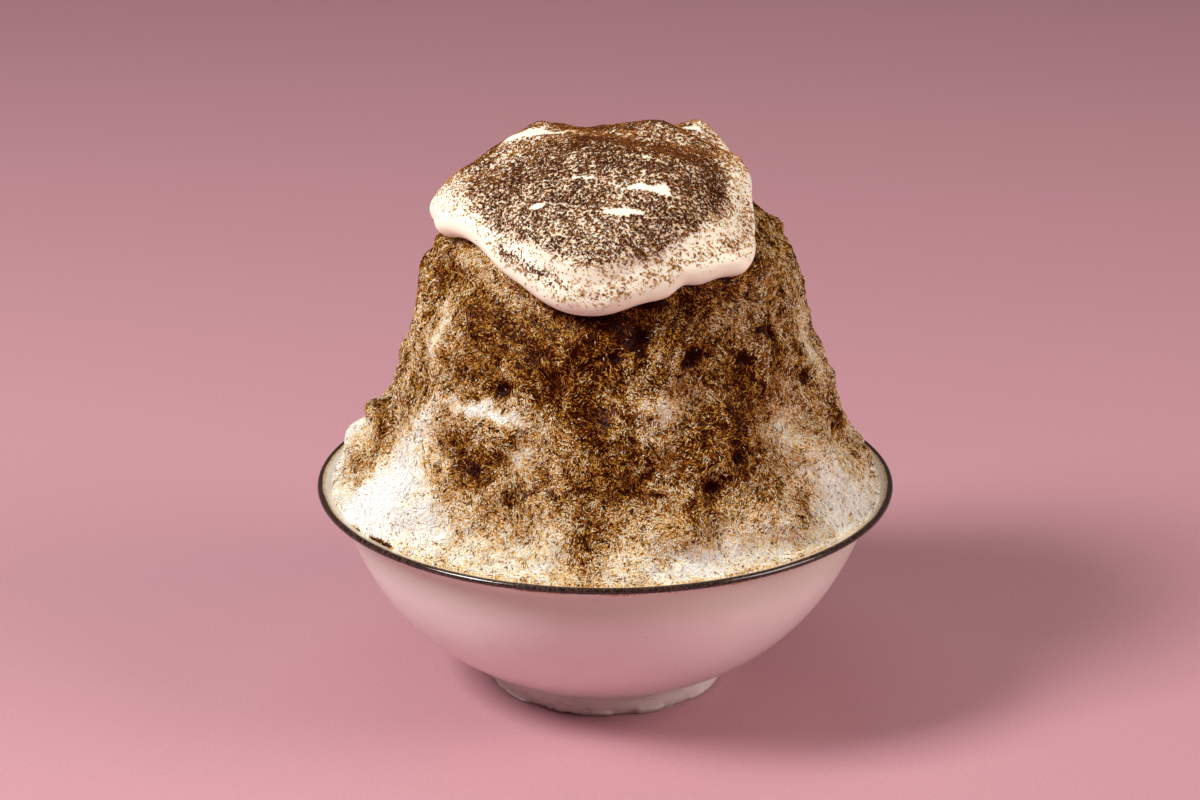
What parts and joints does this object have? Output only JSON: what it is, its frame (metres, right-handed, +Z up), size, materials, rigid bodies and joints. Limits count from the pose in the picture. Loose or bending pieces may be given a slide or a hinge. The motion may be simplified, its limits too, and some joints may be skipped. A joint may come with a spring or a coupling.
{
  "type": "shaved ice dessert",
  "caption": "Heap of shaved ice soaked with brown syrup under a draped cap of whipped cream dusted with cocoa, in a footed porcelain bowl with a flared dark rim.",
  "frame": {"origin": "centre of the foot ring's bottom face", "axes": "+Z up along the bowl's axis, -Y towards the front of the cream, +X to the right"},
  "size_m": [0.16, 0.16, 0.1586],
  "materials": {
    "porcelain": "glossy warm white glaze with a dark iron-brown rim",
    "shaved_ice": "wet, glinting shavings, from white to dark brown where the syrup has soaked in",
    "whipped_cream": "soft satin cream, dusted with cocoa"
  },
  "bodies": {
    "root": {"bowl": "porcelain", "ice": "shaved_ice", "cream": "whipped_cream"}
  },
  "joints": []
}
